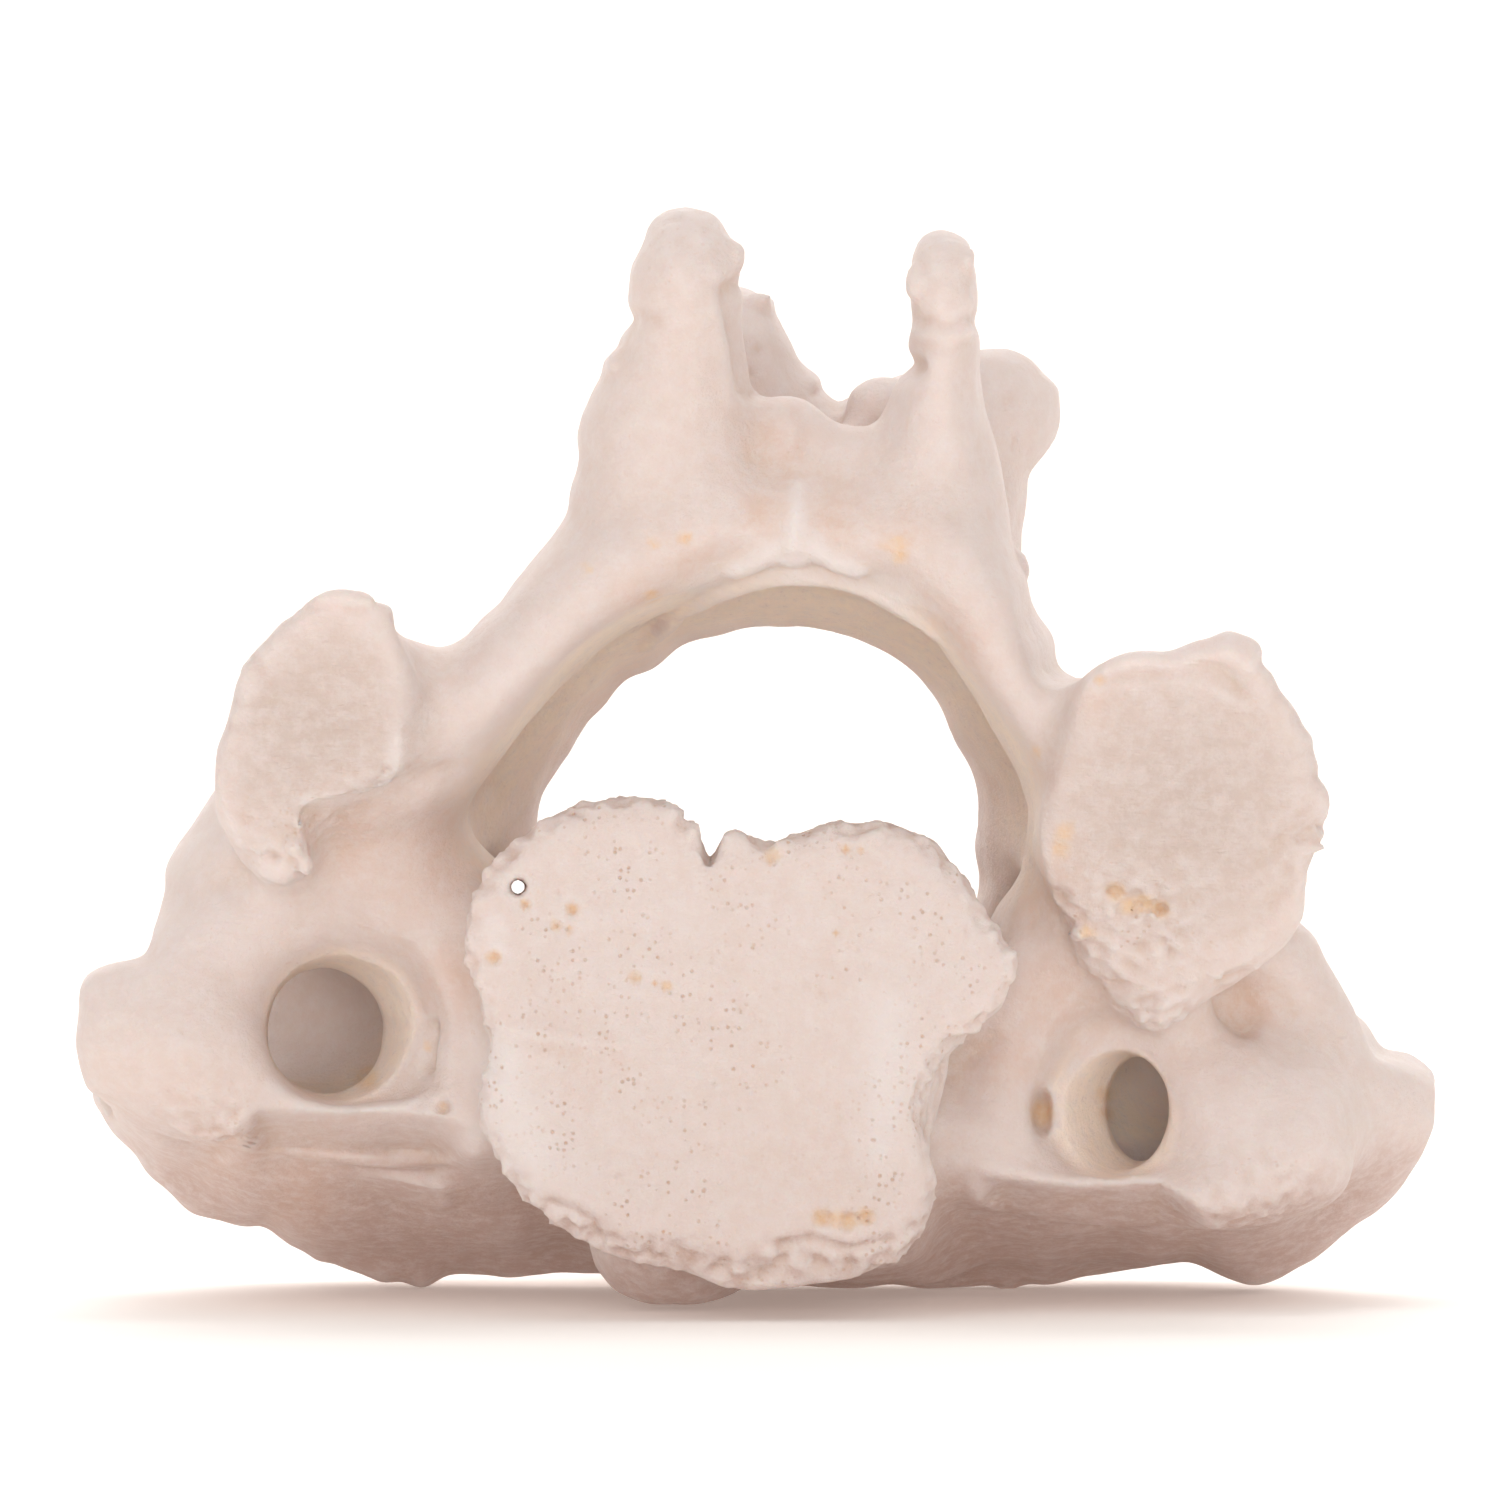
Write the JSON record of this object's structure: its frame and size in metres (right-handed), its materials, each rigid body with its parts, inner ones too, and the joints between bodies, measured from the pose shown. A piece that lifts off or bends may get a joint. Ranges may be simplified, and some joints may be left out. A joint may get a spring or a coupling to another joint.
{
  "type": "fused neck vertebrae",
  "caption": "Fused axis and third cervical vertebra of an adult human, a life-size display bone lying on its front edge, with the canal open and the forked spines up.",
  "frame": {"origin": "middle of the bone's box, on the surface it lies on", "axes": "+X to the bone's right, +Y towards the head, +Z towards the back of the neck; the lower end plate faces -Y, towards the camera"},
  "size_m": [0.0556, 0.055, 0.0445],
  "materials": {
    "bone": "satin"
  },
  "bodies": {
    "root": {"third_body": "bone", "axis_body": "bone", "dens": "bone", "shoulder_left": "bone", "shoulder_right": "bone", "transverse_left": "bone", "transverse_right": "bone", "pillar_left": "bone", "pillar_right": "bone", "third_lamina_left": "bone", "third_lamina_right": "bone", "axis_lamina_left": "bone", "axis_lamina_right": "bone", "third_spine_left": "bone", "third_spine_right": "bone", "axis_spine_left": "bone", "axis_spine_right": "bone"}
  },
  "joints": []
}
